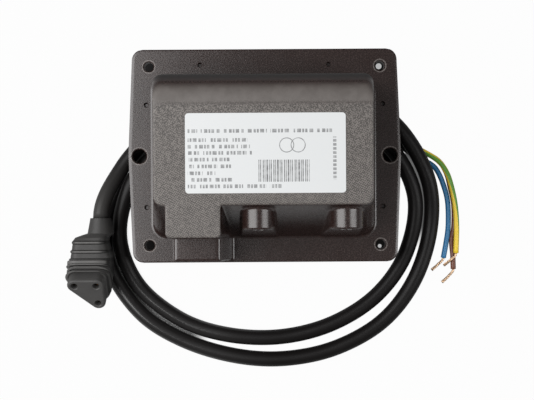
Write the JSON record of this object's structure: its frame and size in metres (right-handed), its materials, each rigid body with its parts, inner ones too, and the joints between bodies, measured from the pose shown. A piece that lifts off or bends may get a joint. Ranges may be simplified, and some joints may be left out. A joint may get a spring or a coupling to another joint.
{
  "type": "ignition transformer",
  "caption": "Potted ignition transformer in a moulded case with fixing flange, mains socket block, two high-voltage outlets, and a mains lead with a triangular plug and stripped ends.",
  "frame": {"origin": "centre of the four corner fixing holes, on the front face of the flange", "axes": "+Z out of the front of the case, along the fixing screws; +Y away from the mains socket and the high-voltage outlets; +X to the right when the label is read"},
  "size_m": [0.1817, 0.1481, 0.0678],
  "materials": {
    "case_moulding": "dark grey-brown moulded thermoset, finely textured on the front face and smooth elsewhere",
    "resin": "filled potting resin",
    "laminations": "stacked silicon steel",
    "bobbin": "natural nylon",
    "enamelled_wire": "enamelled copper wire in layers",
    "brass": "plain brass",
    "plated_pin": "nickel plate",
    "lead_insulation": "insulated wire",
    "label": "satin polyester label",
    "plug_rubber": "moulded black rubber",
    "sheath": "smooth black sheath, semi-gloss",
    "blue_insulation": "light blue core insulation",
    "green_yellow_insulation": "yellow core insulation with a green stripe",
    "brown_insulation": "brown core insulation",
    "copper": "bare stranded copper"
  },
  "bodies": {
    "root": {"housing": "case_moulding", "potting": "resin", "seal_resin": "resin", "core_u": "laminations", "core_i": "laminations", "magnetic_shunt": "laminations", "primary_bobbin": "bobbin", "primary_winding": "enamelled_wire", "secondary_bobbin_left": "bobbin", "secondary_winding_left": "enamelled_wire", "secondary_bobbin_right": "bobbin", "secondary_winding_right": "enamelled_wire", "hv_pin_left": "brass", "hv_pin_right": "brass", "hv_lead_left": "lead_insulation", "hv_lead_right": "lead_insulation", "line_pin": "plated_pin", "neutral_pin": "plated_pin", "earth_pin": "plated_pin", "line_lead": "lead_insulation", "neutral_lead": "lead_insulation", "earth_lead": "lead_insulation", "label": "label", "plug_body": "plug_rubber", "plug_contact_line": "brass", "plug_contact_neutral": "brass", "plug_contact_earth": "brass", "lead_sheath": "sheath", "core_blue": "blue_insulation", "core_green_yellow": "green_yellow_insulation", "core_brown": "brown_insulation", "strands_blue": "copper", "strands_green_yellow": "copper", "strands_brown": "copper"}
  },
  "joints": []
}
